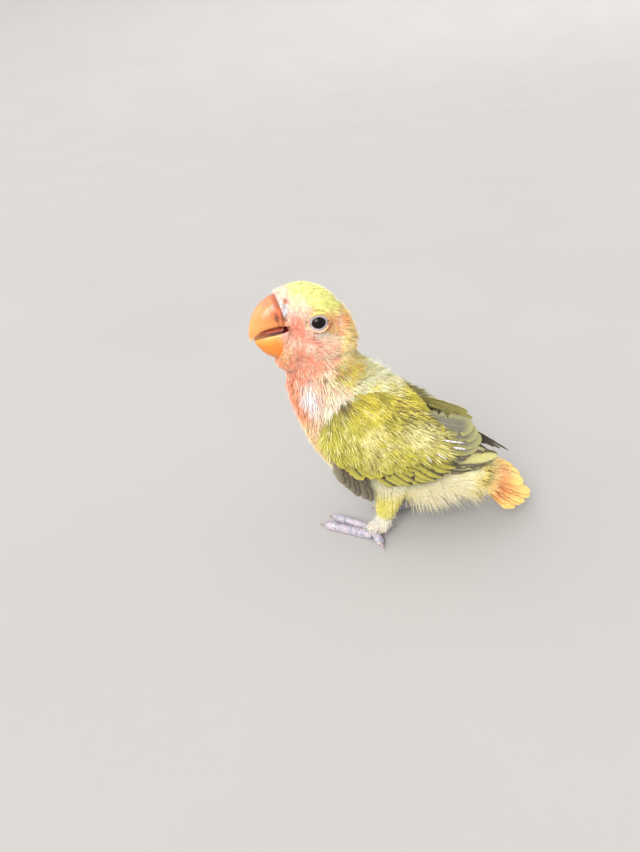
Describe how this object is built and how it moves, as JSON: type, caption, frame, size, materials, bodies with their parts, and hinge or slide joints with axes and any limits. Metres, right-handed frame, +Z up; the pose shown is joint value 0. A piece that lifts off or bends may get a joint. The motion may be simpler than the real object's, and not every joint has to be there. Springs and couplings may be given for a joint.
{
  "type": "peach-faced lovebird, fledgling, standing figure",
  "caption": "Still, life-size standing model of a small parrot with its bill a little open, its head turned to its left and its wings folded, for display on a flat surface.",
  "frame": {"origin": "on the floor, below the middle of the bird's bounding box", "axes": "+Z up, the bill towards -X and the tail towards +X, the bird's left side towards -Y"},
  "size_m": [0.0942, 0.041, 0.1006],
  "materials": {
    "crown": "soft yellow head feathers, peach on the face",
    "neck": "peach and olive-yellow feathers",
    "body": "soft peach, cream and yellow body feathers and down",
    "wing": "olive-yellow coverts with grey flight feathers",
    "tail": "orange tail feathers with yellow tips",
    "down": "yellow-green leg down",
    "horn": "smooth orange horn of the bill",
    "cere": "pale bare skin round the nostrils",
    "tongue": "moist pink",
    "eye": "glossy near-black",
    "foot_skin": "scaly grey-pink skin",
    "claw": "smooth grey-brown horn"
  },
  "bodies": {
    "root": {"head": "crown", "cere": "cere", "upper_bill": "horn", "lower_bill": "horn", "tongue": "tongue", "eye_left": "eye", "eye_right": "eye", "neck": "neck", "torso": "body", "wing_left": "wing", "wing_right": "wing", "tail": "tail", "thigh_left": "down", "thigh_right": "down", "foot_left": "foot_skin", "foot_right": "foot_skin", "toe_left_inner_front": "foot_skin", "toe_left_outer_front": "foot_skin", "toe_left_inner_hind": "foot_skin", "toe_left_outer_hind": "foot_skin", "toe_right_inner_front": "foot_skin", "toe_right_outer_front": "foot_skin", "toe_right_inner_hind": "foot_skin", "toe_right_outer_hind": "foot_skin", "claw_left_inner_front": "claw", "claw_left_outer_front": "claw", "claw_left_inner_hind": "claw", "claw_left_outer_hind": "claw", "claw_right_inner_front": "claw", "claw_right_outer_front": "claw", "claw_right_inner_hind": "claw", "claw_right_outer_hind": "claw"}
  },
  "joints": []
}
